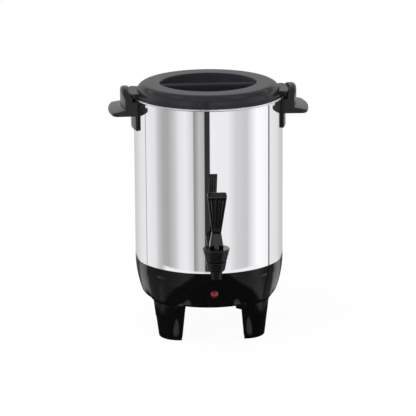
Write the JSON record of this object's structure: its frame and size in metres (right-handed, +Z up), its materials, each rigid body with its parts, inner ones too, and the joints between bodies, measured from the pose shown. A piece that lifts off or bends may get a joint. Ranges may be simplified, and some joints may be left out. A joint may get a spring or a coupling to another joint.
{
  "type": "coffee urn",
  "caption": "Polished steel coffee urn on a black moulded base with legs, side handles, a lift-off lid with a finger recess, a lever tap, a pilot light and a percolator inside.",
  "frame": {"origin": "on the floor, under the can's axis", "axes": "+Z up; the tap points to -Y; the handles lie along X, the right one at +X"},
  "size_m": [0.282, 0.2751, 0.356],
  "materials": {
    "polished_steel": "mirror polished stainless steel",
    "cover_plastic": "dark grey moulding, soft sheen",
    "handle_plastic": "dark moulding, soft sheen",
    "base_plastic": "black, glossy",
    "black_plastic": "black, glossy",
    "inlet_plastic": "black, glossy",
    "valve_plastic": "plain grey moulding",
    "percolator_aluminium": "spun, fine satin",
    "plain_steel": "plain zinc-plated",
    "galvanised_plate": "galvanised sheet",
    "heater_sheath": "dark oxidised sheath",
    "thermostat_case": "phenolic, glossy",
    "fuse_sleeve": "woven glass sleeve",
    "lead_sleeve": "silicone insulation",
    "valve_rubber": "silicone rubber",
    "gasket_rubber": "black rubber",
    "red_lens": "clear red jewel",
    "lamp_glass": "clear glass with its electrodes",
    "contact_metal": "nickel-plated"
  },
  "bodies": {
    "urn": {"urn_body": "polished_steel", "left_handle": "handle_plastic", "right_handle": "handle_plastic", "handle_brackets": "plain_steel", "handle_screws": "plain_steel", "faucet_body": "black_plastic", "faucet_bonnet": "black_plastic", "faucet_spring": "plain_steel", "outer_gasket": "gasket_rubber", "inner_gasket": "gasket_rubber", "faucet_nut": "valve_plastic", "base_housing": "base_plastic", "bottom_plate": "galvanised_plate", "centre_stud": "plain_steel", "centre_nuts": "plain_steel", "pump_heater": "heater_sheath", "warming_heater": "heater_sheath", "heater_clamp": "galvanised_plate", "thermostat": "thermostat_case", "thermal_fuse": "fuse_sleeve", "internal_leads": "lead_sleeve", "pilot_lens": "red_lens", "pilot_lamp": "lamp_glass", "pilot_clip": "plain_steel", "inlet_shroud": "inlet_plastic", "inlet_pins": "contact_metal", "inlet_screws": "plain_steel"},
    "cover": {"cover": "cover_plastic"},
    "pump": {"pump_tube": "percolator_aluminium", "pump_washer": "percolator_aluminium"},
    "basket": {"coffee_basket": "percolator_aluminium"},
    "spreader": {"spreader": "percolator_aluminium"},
    "stem": {"faucet_stem": "valve_plastic", "seat_cup": "valve_rubber"},
    "lever": {"faucet_handle": "black_plastic", "handle_pin": "plain_steel"}
  },
  "joints": [
    {"name": "cover_lift", "type": "slide", "parent": "urn", "child": "cover", "axis": [0, 0, 1], "range_m": [0, 0.5]},
    {"name": "pump_lift", "type": "slide", "parent": "urn", "child": "pump", "axis": [0, 0, 1], "range_m": [0, 0.2501]},
    {"name": "basket_lift", "type": "slide", "parent": "pump", "child": "basket", "axis": [0, 0, 1], "range_m": [0, 0.0701]},
    {"name": "spreader_lift", "type": "slide", "parent": "basket", "child": "spreader", "axis": [0, 0, 1], "range_m": [0, 0.0501]},
    {"name": "stem_lift", "type": "slide", "parent": "urn", "child": "stem", "axis": [0, 0, 1], "range_m": [0, 0.00401], "deforming": ["faucet_spring"]},
    {"name": "lever_tilt", "type": "hinge", "parent": "stem", "child": "lever", "pos_m": [0, -0.141, 0.15842], "axis": [1, 0, 0], "range_deg": [0, 65], "stiffness_Nm_per_rad": 0.05, "springref_deg": -25.78}
  ],
  "couplings": [
    {"joint": "pump_lift", "follows": "cover_lift", "ratio": 0.5},
    {"joint": "basket_lift", "follows": "cover_lift", "ratio": 0.14},
    {"joint": "spreader_lift", "follows": "cover_lift", "ratio": 0.1},
    {"joint": "stem_lift", "follows": "lever_tilt", "m_per_rad": 0.0035259}
  ]
}
